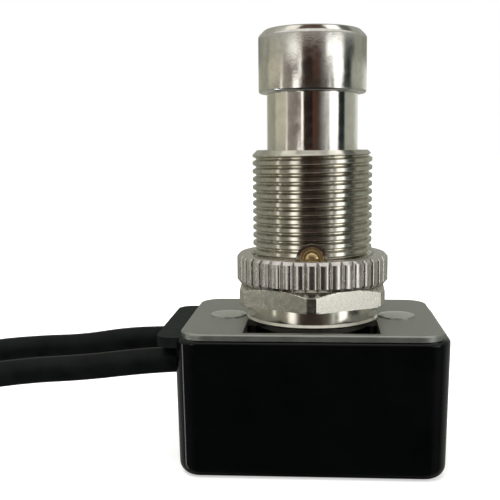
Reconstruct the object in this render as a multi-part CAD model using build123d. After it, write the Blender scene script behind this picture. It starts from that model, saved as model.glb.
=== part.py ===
"""Push-button canopy switch with a threaded bushing, two ring nuts and two wire leads.

Millimetres. The origin is on the button's axis at the bottom face of the moulded case.
X runs along the case, with the leads on -X. The guide pin faces -Y, and +Z is the way out.
Heights in this source count from the plate's top face, and every piece is lifted at the end.
"""
import math
import os

from build123d import *

# Thread of the bushing, 15/32 inch with 32 turns to the inch, at its full diameter
THREAD_RADIUS = 5.953
THREAD_TOP = 16.77
THREAD_LEAD_CHAMFER = 0.45
NUT_CLEARANCE = 0.05

# Collar at the foot of the bushing and the staked tail below it
COLLAR_STEP = 0.737
COLLAR_HEIGHT = 1.74
COLLAR_CHAMFER = 0.24
TAIL_WALL = 0.577
STAKE_LIP = 0.33
STAKE_HEIGHT = 0.32

# Push stem and button cap
BARREL_WALL = 1.41
STEM_CLEARANCE = 0.06
STEM_WALL = 0.6
STEM_SOLID_FROM = 15.0
STEM_FOOT = 2.2
CAP_WALL = 0.823
CAP_HEIGHT = 6.11
CAP_LIFT = 5.49
CAP_TOP_CHAMFER = 0.65
CAP_FOOT_CHAMFER = 0.2
CAP_ROOF = 1.2
CAP_GRIP = 0.02
STROKE = 4.0

# Guide pin in the side of the bushing
PIN_HEIGHT = 6.5
PIN_HOLE_RADIUS = 1.5
PIN_RADIUS = 1.2
PIN_SEAT_CLEARANCE = 0.02
PIN_SETBACK = 0.633
PIN_HOLE_DEPTH = 1.003
PIN_RIM = 0.26
PIN_EDGE_CHAMFER = 0.087
PIN_DOME_RADIUS = 0.78
PIN_DOME_RISE = 0.22
PIN_RIM_DEPTH = 0.3
PIN_ENGAGEMENT = 0.463
SLOT_CLEARANCE = 0.1

# Hexagon nut, 9/16 inch across the flats, and the knurled ring nut above it
HEX_WALL = 1.117
HEX_HEIGHT = 1.86
HEX_CORNER_CUT = 0.246
HEX_CHAMFER = 0.42
RING_WALL = 1.647
RING_HEIGHT = 2.92
RING_GAP = 0.015
RING_CHAMFER = 0.38
RING_LOBE_PITCH = 1.19
RING_LOBE_RADIUS = 0.62
NUT_BORE_CHAMFER = 0.3

# Steel plate, a little smaller than the case it covers
PLATE_INSET = 0.6
PLATE_SIDE_INSET = 0.05
PLATE_THICKNESS = 0.64
PLATE_CORNER = 2.3
PLATE_EDGE = 0.22
WINDOW_TO_RIVET = 2.15
WINDOW_RAIL = 0.65
SEAT_WALL = 0.73
BRIDGE_WIDTH = 4.2
LEG_SIDE_GAP = 0.25
LEG_TAPER = 0.6
LEG_TAPER_HEIGHT = 1.2

# Rivets, close beside the collar
RIVET_TO_COLLAR = 0.03
RIVET_HEAD_RADIUS = 1.83
RIVET_HEAD_RISE = 0.32
RIVET_BRIM = 0.107
RIVET_RADIUS = 1.1
RIVET_CLEARANCE = 0.05
RIVET_TAIL_RADIUS = 1.65
RIVET_TAIL_HEIGHT = 0.42
RIVET_RECESS_CLEARANCE = 0.45
RIVET_RECESS_DEPTH = 0.75
RIVET_HOLLOW_RADIUS = 0.7
RIVET_HOLLOW_DEPTH = 2.4
BOSS_WALL = 1.05

# Moulded case
CASE_LENGTH = 26.0
CASE_DEPTH = 17.6
CASE_HEIGHT = 13.5
CASE_DRAFT = 1.1
CASE_CORNER = 2.4
CASE_RIM_ROUND = 0.4
CASE_FOOT_ROUND = 1.25
CASE_WALL = 1.4
CASE_FLOOR = 1.6
WELL_SIDE_WALL = 0.85
WELL_GAP = 0.11
WELL_DROP = 4.66
WELL_CORNER = 0.3
LOWER_TO_RIVET = 2.6
LOWER_SIDE_WALL = 2.1
LOWER_CORNER = 0.8
GUARD_STEP = 1.0

# Wire guard, the black lip over the leads
GUARD_SIDE_INSET = 1.2
GUARD_OVERHANG = 1.8
GUARD_CORNER = 1.5
GUARD_CLEARANCE = 0.1
GUARD_RIB_WIDTH = 2.2
GUARD_RIB_LENGTH = 1.0

# Leads, 18 gauge hook-up wire, about four inches long with its bare end
LEAD_RADIUS = 1.27
LEAD_SPACING = 8.8
LEAD_DROP = 2.81
LEAD_SLOT_CLEARANCE = 0.15
LEAD_FLOOR_GAP = 0.01
STRAND_RADIUS = 0.55
BARE_LENGTH = 12.0
BEND_SHARE = 0.45

# Contacts and their terminals
CONTACT_THICKNESS = 0.5
CONTACT_WIDTH = 2.6
CONTACT_END = 1.5
RISER_GAP = 1.1
CRIMP_LENGTH = 1.9
CRIMP_RADIUS = 1.0
POINT_RADIUS = 0.9
POINT_HEIGHT = 0.45
RISER_TOP_GAP = 0.3

# Moving contact, rotor and its drive
BRIDGE_GAP = 0.1
BRIDGE_OVERHANG = 0.8
BRIDGE_BAR_WIDTH = 2.4
BRIDGE_THICKNESS = 0.5
BRIDGE_EYE_RADIUS = 2.2
ROTOR_RADIUS = 5.0
ROTOR_THICKNESS = 2.2
HUB_WALL = 1.1
HUB_DROP = 0.45
SPINDLE_RADIUS = 1.2
SPINDLE_CLEARANCE = 0.05
SPINDLE_DEPTH = 0.8
SPINDLE_END_GAP = 0.1
QUARTER_TURN = 90.0
STRIP_WIDTH = 3.0
STRIP_THICKNESS = 0.8
STRIP_TOP_GAP = 0.5
STRIP_ROOT = 1.4
DISC_THICKNESS = 0.6
DISC_SLOT_END_GAP = 0.1
DISC_SLOT_SIDE_GAP = 0.27
DISC_LIFT = 0.4

# Bearing plate under the stem, and the return spring that stands on it
BEARING_THICKNESS = 0.75
BEARING_CLEARANCE = 0.05
BEARING_HOLE_CLEARANCE = 0.4
SPRING_SIDE_GAP = 0.358
SPRING_WIRE = 0.45
SPRING_WIRE_SIDES = 6
SPRING_TURNS = 4
SPRING_END_GAP = 0.02

# How far a cutter passes beyond the face that it cuts
OVERSHOOT = 1.0
BEVEL_OVERSHOOT = 0.1

PLATE_BOTTOM = -PLATE_THICKNESS
CASE_TOP = PLATE_BOTTOM
CASE_BOTTOM = CASE_TOP - CASE_HEIGHT
FLOOR_TOP = CASE_BOTTOM + CASE_FLOOR
CASE_END = CASE_LENGTH / 2
GUARD_BOTTOM = CASE_TOP - GUARD_STEP
LEDGE = CASE_TOP - WELL_DROP
BEARING_TOP = LEDGE + BEARING_THICKNESS
HUB_TOP = LEDGE - HUB_DROP
HEX_BOTTOM = COLLAR_HEIGHT
HEX_TOP = HEX_BOTTOM + HEX_HEIGHT
RING_BOTTOM = HEX_TOP + RING_GAP
RING_TOP = RING_BOTTOM + RING_HEIGHT
CAP_BOTTOM = THREAD_TOP + CAP_LIFT
CAP_TOP = CAP_BOTTOM + CAP_HEIGHT
STEM_TOP = CAP_TOP - CAP_ROOF
NUT_BORE = THREAD_RADIUS + NUT_CLEARANCE
BORE_RADIUS = THREAD_RADIUS - BARREL_WALL
STEM_RADIUS = BORE_RADIUS - STEM_CLEARANCE
STEM_INSIDE = STEM_RADIUS - STEM_WALL
CAP_RADIUS = STEM_RADIUS + CAP_WALL
COLLAR_RADIUS = THREAD_RADIUS + COLLAR_STEP
TAIL_RADIUS = BORE_RADIUS + TAIL_WALL
STAKE_RADIUS = TAIL_RADIUS + STAKE_LIP
SEAT_RADIUS = TAIL_RADIUS + SEAT_WALL
HEX_FLATS = 2 * (THREAD_RADIUS + HEX_WALL)
HEX_CORNER_RADIUS = HEX_FLATS / math.sqrt(3) - HEX_CORNER_CUT
RING_RADIUS = THREAD_RADIUS + RING_WALL
RING_LOBES = round(2 * math.pi * RING_RADIUS / RING_LOBE_PITCH)
PIN_FACE = THREAD_RADIUS - PIN_SETBACK
PIN_HOLE_SHOULDER = THREAD_RADIUS - PIN_HOLE_DEPTH
PIN_SEAT_RADIUS = PIN_RADIUS + PIN_SEAT_CLEARANCE
PIN_REACH = STEM_RADIUS - PIN_ENGAGEMENT
RIVET_X = COLLAR_RADIUS + RIVET_TO_COLLAR + RIVET_HEAD_RADIUS
RIVET_HOLE_RADIUS = RIVET_RADIUS + RIVET_CLEARANCE
RIVET_RECESS_RADIUS = RIVET_TAIL_RADIUS + RIVET_RECESS_CLEARANCE
BOSS_RADIUS = RIVET_RADIUS + BOSS_WALL
PLATE_LENGTH = CASE_LENGTH - 2 * PLATE_INSET
PLATE_DEPTH = CASE_DEPTH - 2 * PLATE_SIDE_INSET
WINDOW_HALF = RIVET_X - WINDOW_TO_RIVET
WINDOW_SIDE = PLATE_DEPTH / 2 - WINDOW_RAIL
WELL_HALF = WINDOW_HALF + PLATE_THICKNESS + WELL_GAP
WELL_SIDE = CASE_DEPTH / 2 - WELL_SIDE_WALL
LEG_END = WELL_SIDE - LEG_SIDE_GAP
LOWER_LEFT = -CASE_END + CASE_WALL
LOWER_RIGHT = RIVET_X - LOWER_TO_RIVET
LOWER_SIDE = CASE_DEPTH / 2 - LOWER_SIDE_WALL
GUARD_SIDE = CASE_DEPTH / 2 - GUARD_SIDE_INSET
GUARD_REACH = CASE_END + GUARD_OVERHANG
LEAD_Y = LEAD_SPACING / 2
LEAD_HEIGHT = CASE_TOP - LEAD_DROP
LEAD_FLOOR = CASE_BOTTOM + LEAD_RADIUS + LEAD_FLOOR_GAP
RISER_X = LOWER_LEFT + RISER_GAP
DISC_BOTTOM = STEM_FOOT + DISC_LIFT
BRIDGE_BOTTOM = FLOOR_TOP + CONTACT_THICKNESS + POINT_HEIGHT + BRIDGE_GAP
BRIDGE_TOP = BRIDGE_BOTTOM + BRIDGE_THICKNESS
BRIDGE_LENGTH = LEAD_SPACING + 2 * BRIDGE_OVERHANG
ROTOR_TOP = BRIDGE_TOP + ROTOR_THICKNESS
HUB_RADIUS = STRIP_WIDTH / 2 + HUB_WALL
BEARING_HOLE_RADIUS = STRIP_WIDTH / 2 + BEARING_HOLE_CLEARANCE
SPRING_RADIUS = STEM_INSIDE - SPRING_WIRE / 2 - SPRING_SIDE_GAP

# Routes of the leads as rows of three: the way past the case's end, the drift sideways, and
# the share of the drop from the wire slot to the floor
FRONT_ROUTE = [
    (-1.7, 0, 0),
    (0.8, 0, 0.014),
    (4.4, -0.1, 0.054),
    (9.4, -0.4, 0.1),
    (15.2, -0.8, 0.127),
    (22.0, -1.45, 0.22),
    (29.4, -1.9, 0.42),
    (37.6, -1.9, 0.69),
    (46.0, -1.35, 0.925),
    (54.4, -0.55, 1),
    (63.0, 0.5, 1),
    (71.2, 1.75, 1),
    (78.6, 3.15, 1),
    (84.4, 4.55, 1),
]
BACK_ROUTE = [
    (-1.7, 0, 0),
    (3.2, 0.05, 0),
    (7.4, 0.15, 0.016),
    (12.2, 0.2, 0.12),
    (17.2, 0.05, 0.136),
    (23.0, -0.3, 0.19),
    (30.4, -0.8, 0.36),
    (38.8, -1.0, 0.63),
    (47.4, -0.7, 0.89),
    (56.0, 0.1, 1),
    (64.6, 1.35, 1),
    (72.6, 2.6, 1),
    (79.4, 3.0, 1),
    (85.0, 2.85, 1),
]


def rounded_block(length, depth, height, corner, bottom, centre=(0, 0)):
    """A block with upright rounded corners, standing on the given height."""
    outline = RectangleRounded(length, depth, corner)
    return Pos(centre[0], centre[1], bottom) * extrude(outline, height)


def span_block(x_from, x_to, y_from, y_to, z_from, z_to):
    """A plain block between two corners."""
    size = Box(x_to - x_from, y_to - y_from, z_to - z_from)
    return Pos((x_from + x_to) / 2, (y_from + y_to) / 2, (z_from + z_to) / 2) * size


def rod(radius, bottom, top, centre=(0, 0)):
    """An upright cylinder between two heights."""
    middle = (bottom + top) / 2
    return Pos(centre[0], centre[1], middle) * Cylinder(radius, top - bottom)


def turned(points):
    """A body of revolution about Z from its half section in X and Z."""
    section = make_face(Polyline(*[(x, 0, z) for x, z in points], close=True))
    return revolve(section, Axis.Z)


def dome(radius, base, rise):
    """A low spherical cap about Z on a round base."""
    ball_radius = (radius**2 + rise**2) / (2 * rise)
    ball = Pos(0, 0, base + rise - ball_radius) * Sphere(ball_radius)
    return ball & rod(radius, base, base + rise)


def make_bushing():
    """Barrel, collar and staked tail, bored for the stem and drilled for the guide pin."""
    outline = [
        (BORE_RADIUS, PLATE_BOTTOM - STAKE_HEIGHT),
        (STAKE_RADIUS, PLATE_BOTTOM - STAKE_HEIGHT / 2),
        (STAKE_RADIUS, PLATE_BOTTOM),
        (TAIL_RADIUS, PLATE_BOTTOM),
        (TAIL_RADIUS, 0),
        (COLLAR_RADIUS - COLLAR_CHAMFER, 0),
        (COLLAR_RADIUS, COLLAR_CHAMFER),
        (COLLAR_RADIUS, COLLAR_HEIGHT),
        (THREAD_RADIUS, COLLAR_HEIGHT),
        (THREAD_RADIUS, THREAD_TOP - THREAD_LEAD_CHAMFER),
        (THREAD_RADIUS - THREAD_LEAD_CHAMFER, THREAD_TOP),
        (BORE_RADIUS, THREAD_TOP),
    ]
    body = turned(outline)
    wide = radial_rod(PIN_HOLE_RADIUS, PIN_HOLE_SHOULDER, THREAD_RADIUS + OVERSHOOT)
    narrow = radial_rod(PIN_SEAT_RADIUS, BORE_RADIUS - OVERSHOOT, THREAD_RADIUS)
    return body - wide - narrow


def radial_rod(radius, inner, outer):
    """A cylinder at the guide pin's height, from one distance off the axis to another."""
    middle = (inner + outer) / 2
    return Pos(0, -middle, PIN_HEIGHT) * Rot(90, 0, 0) * Cylinder(radius, outer - inner)


def make_guide_pin():
    """Brass pin with a raised rim round a domed middle, reaching into the stem's slot."""
    groove = PIN_FACE - PIN_RIM_DEPTH
    inner = PIN_RADIUS - PIN_RIM
    pin = turned(
        [
            (0, PIN_REACH),
            (PIN_RADIUS, PIN_REACH),
            (PIN_RADIUS, PIN_FACE - PIN_EDGE_CHAMFER),
            (PIN_RADIUS - PIN_EDGE_CHAMFER, PIN_FACE),
            (inner, PIN_FACE),
            (inner, groove),
            (0, groove),
        ]
    )
    pin += dome(PIN_DOME_RADIUS, groove, PIN_DOME_RISE)
    return Pos(0, 0, PIN_HEIGHT) * Rot(90, 0, 0) * pin


def make_stem():
    """Polished stem, hollow below, with a slot in front for the guide pin."""
    body = rod(STEM_RADIUS, STEM_FOOT, STEM_TOP)
    body -= rod(STEM_INSIDE, STEM_FOOT, STEM_SOLID_FROM)
    half = PIN_RADIUS + SLOT_CLEARANCE
    near = STEM_INSIDE / 2
    far = STEM_RADIUS + OVERSHOOT
    slot = span_block(-half, half, -far, -near, PIN_HEIGHT, PIN_HEIGHT + STROKE)
    for height in (PIN_HEIGHT, PIN_HEIGHT + STROKE):
        end = Pos(0, -(far + near) / 2, height) * Rot(90, 0, 0)
        slot += end * Cylinder(half, far - near)
    return body - slot


def make_cap():
    """Cup-shaped button cap pressed over the head of the stem."""
    grip = STEM_RADIUS + CAP_GRIP
    return turned(
        [
            (0, STEM_TOP),
            (grip, STEM_TOP),
            (grip, CAP_BOTTOM),
            (CAP_RADIUS - CAP_FOOT_CHAMFER, CAP_BOTTOM),
            (CAP_RADIUS, CAP_BOTTOM + CAP_FOOT_CHAMFER),
            (CAP_RADIUS, CAP_TOP - CAP_TOP_CHAMFER),
            (CAP_RADIUS - CAP_TOP_CHAMFER, CAP_TOP),
            (0, CAP_TOP),
        ]
    )


def make_hex_nut():
    """Thin hexagon nut with its corners rounded off and its top edge chamfered."""
    blank = Pos(0, 0, HEX_BOTTOM) * extrude(
        Rot(0, 0, 30) * RegularPolygon(HEX_FLATS / 2, 6, major_radius=False), HEX_HEIGHT
    )
    flat_top = HEX_FLATS / 2 + HEX_CHAMFER / 2
    limit = turned(
        [
            (NUT_BORE + NUT_BORE_CHAMFER / 2, HEX_BOTTOM),
            (HEX_CORNER_RADIUS, HEX_BOTTOM),
            (HEX_CORNER_RADIUS, HEX_TOP - HEX_CHAMFER),
            (flat_top, HEX_TOP),
            (NUT_BORE + NUT_BORE_CHAMFER, HEX_TOP),
            (NUT_BORE, HEX_TOP - NUT_BORE_CHAMFER),
            (NUT_BORE, HEX_BOTTOM + NUT_BORE_CHAMFER / 2),
        ]
    )
    return blank & limit


def make_ring_nut():
    """Ring nut with rounded lobes that meet in narrow grooves, chamfered at both faces."""
    pitch_radius = RING_RADIUS - RING_LOBE_RADIUS
    half_step = math.pi / RING_LOBES
    groove_reach = math.sqrt(RING_LOBE_RADIUS**2 - (pitch_radius * math.sin(half_step)) ** 2)
    groove_radius = pitch_radius * math.cos(half_step) + groove_reach
    arcs = []
    for lobe in range(RING_LOBES):
        middle = 2 * half_step * lobe
        ends = [(groove_radius, middle - half_step), (groove_radius, middle + half_step)]
        start, end = [(r * math.cos(a), r * math.sin(a)) for r, a in ends]
        crest = (RING_RADIUS * math.cos(middle), RING_RADIUS * math.sin(middle))
        arcs.append(ThreePointArc(start, crest, end))
    wheel = Pos(0, 0, RING_BOTTOM) * extrude(make_face(Wire(arcs)), RING_HEIGHT)
    rim = RING_RADIUS + BEVEL_OVERSHOOT
    limit = turned(
        [
            (NUT_BORE + NUT_BORE_CHAMFER, RING_BOTTOM),
            (rim - RING_CHAMFER, RING_BOTTOM),
            (rim, RING_BOTTOM + RING_CHAMFER),
            (rim, RING_TOP - RING_CHAMFER),
            (rim - RING_CHAMFER, RING_TOP),
            (NUT_BORE + NUT_BORE_CHAMFER, RING_TOP),
            (NUT_BORE, RING_TOP - NUT_BORE_CHAMFER),
            (NUT_BORE, RING_BOTTOM + NUT_BORE_CHAMFER),
        ]
    )
    return wheel & limit


def make_plate():
    """Steel plate with a seat for the bushing, two windows and four legs bent down."""
    plate = rounded_block(PLATE_LENGTH, PLATE_DEPTH, PLATE_THICKNESS, PLATE_CORNER, PLATE_BOTTOM)
    plate = fillet(plate.faces().sort_by(Axis.Z)[-1].edges(), PLATE_EDGE)
    below = PLATE_BOTTOM - OVERSHOOT
    above = OVERSHOOT
    plate -= span_block(-WINDOW_HALF, WINDOW_HALF, -WINDOW_SIDE, WINDOW_SIDE, below, above)
    plate += rod(SEAT_RADIUS, PLATE_BOTTOM, 0)
    bridge = BRIDGE_WIDTH / 2
    plate += span_block(-WINDOW_HALF, WINDOW_HALF, -bridge, bridge, PLATE_BOTTOM, 0)
    plate -= rod(TAIL_RADIUS, below, above)
    for side in (-1, 1):
        plate -= rod(RIVET_HOLE_RADIUS, below, above, (side * RIVET_X, 0))
        for way in (-1, 1):
            plate += make_leg(side, way)
    return plate


def make_leg(side, way):
    """One leg of the plate, bent down along a window's side and narrowed at its foot."""
    near = BRIDGE_WIDTH / 2 + PLATE_THICKNESS
    outline = Polyline(
        (way * near, 0),
        (way * near, BEARING_TOP),
        (way * (LEG_END - LEG_TAPER), BEARING_TOP),
        (way * LEG_END, BEARING_TOP + LEG_TAPER_HEIGHT),
        (way * LEG_END, 0),
        close=True,
    )
    leg = extrude(Plane.YZ * make_face(outline), side * PLATE_THICKNESS)
    return Pos(side * WINDOW_HALF, 0, 0) * leg


def make_case():
    """Moulded case with a draft, a well for the mechanism, rivet bosses and wire slots."""
    base = RectangleRounded(CASE_LENGTH, CASE_DEPTH, CASE_CORNER)
    body = Pos(0, 0, CASE_TOP) * extrude(base, -CASE_HEIGHT, taper=CASE_DRAFT)
    body = fillet(body.faces().sort_by(Axis.Z)[0].edges(), CASE_FOOT_ROUND)
    body = fillet(body.faces().sort_by(Axis.Z)[-1].edges(), CASE_RIM_ROUND)
    cavity = rounded_block(
        LOWER_RIGHT - LOWER_LEFT,
        2 * LOWER_SIDE,
        CASE_HEIGHT,
        LOWER_CORNER,
        FLOOR_TOP,
        ((LOWER_RIGHT + LOWER_LEFT) / 2, 0),
    )
    well_height = WELL_DROP + OVERSHOOT
    cavity += rounded_block(2 * WELL_HALF, 2 * WELL_SIDE, well_height, WELL_CORNER, LEDGE)
    for side in (-1, 1):
        cavity -= rod(BOSS_RADIUS, FLOOR_TOP, CASE_TOP, (side * RIVET_X, 0))
    outside = -CASE_LENGTH
    above = CASE_TOP + OVERSHOOT
    step_side = GUARD_SIDE + GUARD_CLEARANCE
    cavity += span_block(outside, -WELL_HALF, -step_side, step_side, GUARD_BOTTOM, above)
    body -= cavity
    slot = LEAD_RADIUS + LEAD_SLOT_CLEARANCE
    slot_end = LOWER_LEFT + OVERSHOOT
    for way in (-1, 1):
        near = way * LEAD_Y - slot
        body -= span_block(outside, slot_end, near, near + 2 * slot, LEAD_HEIGHT, CASE_TOP)
        body -= wire_along_x(outside, slot_end, way * LEAD_Y, LEAD_HEIGHT, slot)
    below = CASE_BOTTOM - OVERSHOOT
    for side in (-1, 1):
        place = (side * RIVET_X, 0)
        body -= rod(RIVET_HOLE_RADIUS, below, above, place)
        body -= rod(RIVET_RECESS_RADIUS, below, CASE_BOTTOM + RIVET_RECESS_DEPTH, place)
    bearing = FLOOR_TOP - SPINDLE_DEPTH - SPINDLE_END_GAP
    return body - rod(SPINDLE_RADIUS + SPINDLE_CLEARANCE, bearing, FLOOR_TOP + OVERSHOOT)


def make_guard():
    """Flat black guard under the plate, with a lip over the leads and a rib on each."""
    right = -WELL_HALF - GUARD_CLEARANCE
    outline = Rectangle(right + GUARD_REACH, 2 * GUARD_SIDE)
    outer = outline.vertices().group_by(Axis.X)[0]
    outline = fillet(outer, GUARD_CORNER)
    centre = (right - GUARD_REACH) / 2
    guard = Pos(centre, 0, GUARD_BOTTOM) * extrude(outline, GUARD_STEP)
    below = GUARD_BOTTOM - OVERSHOOT
    guard -= rod(RIVET_HOLE_RADIUS, below, CASE_TOP + OVERSHOOT, (-RIVET_X, 0))
    rib_right = LOWER_LEFT - GUARD_CLEARANCE
    for way in (-1, 1):
        across = way * LEAD_Y
        guard += span_block(
            rib_right - GUARD_RIB_LENGTH,
            rib_right,
            across - GUARD_RIB_WIDTH / 2,
            across + GUARD_RIB_WIDTH / 2,
            LEAD_HEIGHT + LEAD_RADIUS,
            GUARD_BOTTOM,
        )
    return guard


def make_rivet(side):
    """Semi-tubular rivet through the plate and the case, rolled over in its recess."""
    head = RIVET_HEAD_RADIUS
    tail_top = CASE_BOTTOM + RIVET_RECESS_DEPTH
    tail = tail_top - RIVET_TAIL_HEIGHT
    rivet = turned(
        [
            (0, tail + RIVET_HOLLOW_DEPTH),
            (RIVET_HOLLOW_RADIUS, tail + RIVET_HOLLOW_DEPTH - RIVET_HOLLOW_RADIUS / 2),
            (RIVET_HOLLOW_RADIUS, tail + RIVET_TAIL_HEIGHT),
            (RIVET_HOLLOW_RADIUS + RIVET_TAIL_HEIGHT / 2, tail),
            (RIVET_TAIL_RADIUS - RIVET_TAIL_HEIGHT / 2, tail),
            (RIVET_TAIL_RADIUS, tail + RIVET_TAIL_HEIGHT / 2),
            (RIVET_TAIL_RADIUS, tail_top),
            (RIVET_RADIUS, tail_top),
            (RIVET_RADIUS, 0),
            (head, 0),
            (head, RIVET_BRIM),
            (0, RIVET_BRIM),
        ]
    )
    rivet += dome(head, RIVET_BRIM, RIVET_HEAD_RISE - RIVET_BRIM)
    return Pos(side * RIVET_X, 0, 0) * rivet


def make_contact(way):
    """Brass strip on the floor with a riser at the wire end and a crimp on the riser."""
    across = way * LEAD_Y
    half = CONTACT_WIDTH / 2
    strip_top = FLOOR_TOP + CONTACT_THICKNESS
    strip = span_block(RISER_X, CONTACT_END, across - half, across + half, FLOOR_TOP, strip_top)
    riser_right = RISER_X + CONTACT_THICKNESS
    riser_top = GUARD_BOTTOM - RISER_TOP_GAP
    strip += span_block(RISER_X, riser_right, across - half, across + half, FLOOR_TOP, riser_top)
    crimp_end = riser_right + CRIMP_LENGTH
    strip += wire_along_x(riser_right, crimp_end, across, LEAD_HEIGHT, CRIMP_RADIUS)
    hole_ends = (RISER_X - OVERSHOOT, crimp_end + OVERSHOOT)
    return strip - wire_along_x(*hole_ends, across, LEAD_HEIGHT, STRAND_RADIUS)


def make_contact_point(way):
    """Contact rivet with a bevelled head on a strip, under the end of the moving bar."""
    bottom = FLOOR_TOP + CONTACT_THICKNESS
    top = bottom + POINT_HEIGHT
    bevel = POINT_HEIGHT / 2
    point = turned(
        [
            (0, bottom),
            (POINT_RADIUS, bottom),
            (POINT_RADIUS, top - bevel),
            (POINT_RADIUS - bevel, top),
            (0, top),
        ]
    )
    return Pos(0, way * LEAD_Y, 0) * point


def make_bearing_plate():
    """Fibre plate on the case's ledge, held down by the legs, that carries the spring."""
    length = 2 * (WELL_HALF - BEARING_CLEARANCE)
    depth = 2 * (WELL_SIDE - BEARING_CLEARANCE)
    plate = rounded_block(length, depth, BEARING_THICKNESS, WELL_CORNER, LEDGE)
    below = LEDGE - OVERSHOOT
    above = BEARING_TOP + OVERSHOOT
    notch = BOSS_RADIUS + BEARING_CLEARANCE
    for side in (-1, 1):
        plate -= rod(notch, below, above, (side * RIVET_X, 0))
    return plate - rod(BEARING_HOLE_RADIUS, below, above)


def make_return_spring():
    """Coil spring between the bearing plate and the drive disc, with closed ends."""
    bottom = BEARING_TOP + SPRING_WIRE / 2 + SPRING_END_GAP
    top = DISC_BOTTOM - SPRING_WIRE / 2 - SPRING_END_GAP
    path = Helix((top - bottom) / SPRING_TURNS, top - bottom, SPRING_RADIUS)
    start = Plane(origin=path @ 0, z_dir=path % 0)
    wire = RegularPolygon(SPRING_WIRE / 2, SPRING_WIRE_SIDES)
    coil = sweep(start * wire, path=path, is_frenet=True)
    return Pos(0, 0, bottom) * coil


def twist_at(height):
    """Angle of the twisted strip at a height, a quarter turn for each stroke."""
    middle = DISC_BOTTOM + DISC_THICKNESS / 2
    return QUARTER_TURN * (height - middle) / STROKE


def make_drive_disc():
    """Disc in the foot of the stem, with the slot that turns the twisted strip."""
    disc = rod(STEM_INSIDE, DISC_BOTTOM, DISC_BOTTOM + DISC_THICKNESS)
    width = STRIP_WIDTH + 2 * DISC_SLOT_END_GAP
    thickness = STRIP_THICKNESS + 2 * DISC_SLOT_SIDE_GAP
    return disc - Pos(0, 0, DISC_BOTTOM) * Box(width, thickness, 2 * OVERSHOOT)


def make_drive_strip():
    """Flat strip twisted about the axis, standing in the rotor's hub."""
    root = HUB_TOP - STRIP_ROOT
    start = twist_at(HUB_TOP)
    foot = Pos(0, 0, (root + HUB_TOP) / 2) * Rot(0, 0, start)
    strip = foot * Box(STRIP_WIDTH, STRIP_THICKNESS, STRIP_ROOT)
    top = DISC_BOTTOM + DISC_THICKNESS + STRIP_TOP_GAP
    section = Pos(0, 0, HUB_TOP) * Rot(0, 0, start) * Rectangle(STRIP_WIDTH, STRIP_THICKNESS)
    twisted = Solid.extrude_linear_with_rotation(
        section.face(),
        center=(0, 0, HUB_TOP),
        normal=(0, 0, top - HUB_TOP),
        angle=twist_at(top) - start,
    )
    return strip + twisted


def make_rotor():
    """Moulded rotor on a spindle in the case floor, slotted below for the moving bar."""
    body = rod(ROTOR_RADIUS, BRIDGE_TOP, ROTOR_TOP)
    body += rod(HUB_RADIUS, ROTOR_TOP, HUB_TOP)
    body += rod(SPINDLE_RADIUS, FLOOR_TOP - SPINDLE_DEPTH, BRIDGE_TOP)
    socket = Box(STRIP_WIDTH, STRIP_THICKNESS, STRIP_ROOT)
    turn = Rot(0, 0, twist_at(HUB_TOP))
    return body - Pos(0, 0, HUB_TOP - STRIP_ROOT / 2) * turn * socket


def make_moving_bar():
    """Brass bar under the rotor that bridges the two contact points after a quarter turn."""
    bar = Box(BRIDGE_LENGTH, BRIDGE_BAR_WIDTH, BRIDGE_THICKNESS)
    bar = Pos(0, 0, (BRIDGE_BOTTOM + BRIDGE_TOP) / 2) * bar
    bar &= rod(BRIDGE_LENGTH / 2, BRIDGE_BOTTOM, BRIDGE_TOP)
    bar += rod(BRIDGE_EYE_RADIUS, BRIDGE_BOTTOM, BRIDGE_TOP)
    return bar - rod(SPINDLE_RADIUS, BRIDGE_BOTTOM - OVERSHOOT, BRIDGE_TOP + OVERSHOOT)


def make_tube(points, radius):
    """Round tube along straight runs joined by arcs, with its length and radii printed."""
    radii = []
    for before, here, after in zip(points, points[1:], points[2:]):
        run_in = Vector(*here) - Vector(*before)
        run_out = Vector(*after) - Vector(*here)
        turn = math.radians(run_in.get_angle(run_out))
        shorter = min(run_in.length, run_out.length)
        radii.append(BEND_SHARE * shorter / math.tan(turn / 2))
    path = FilletPolyline(*points, radius=radii)
    start = Plane(origin=path @ 0, z_dir=path % 0)
    tube = sweep(start * Circle(radius), path=path)
    expected = math.pi * radius**2 * path.length
    print("tube", "length", round(path.length, 2), "least radius", round(min(radii), 1),
          "volume over section times length", round(tube.volume / expected, 4))
    return tube


def wire_along_x(x_from, x_to, across, height, radius):
    """Straight round wire along X."""
    bar = Rot(0, 90, 0) * Cylinder(radius, abs(x_to - x_from))
    return Pos((x_from + x_to) / 2, across, height) * bar


def place_route(rows, way):
    """Points of a lead's middle line from its route, for the front or the back wire slot."""
    drop = LEAD_HEIGHT - LEAD_FLOOR
    return [
        (-CASE_END - past, way * LEAD_Y + drift, LEAD_HEIGHT - share * drop)
        for past, drift, share in rows
    ]


def make_leads():
    """Both leads along their routes, with the strands in the crimps and the bare ends."""
    pieces = {}
    crimp_end = RISER_X + CONTACT_THICKNESS + CRIMP_LENGTH
    for name, rows, way in (("front", FRONT_ROUTE, -1), ("back", BACK_ROUTE, 1)):
        route = place_route(rows, way)
        pieces[f"lead_{name}"] = make_tube(route, LEAD_RADIUS)
        last = Vector(*route[-1])
        way_out = last - Vector(*route[-2])
        end = Plane(origin=last, z_dir=way_out) * Circle(STRAND_RADIUS)
        pieces[f"bare_end_{name}"] = extrude(end, BARE_LENGTH)
        start, across, height = route[0]
        pieces[f"strand_{name}"] = wire_along_x(start, crimp_end, across, height, STRAND_RADIUS)
    return pieces


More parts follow.
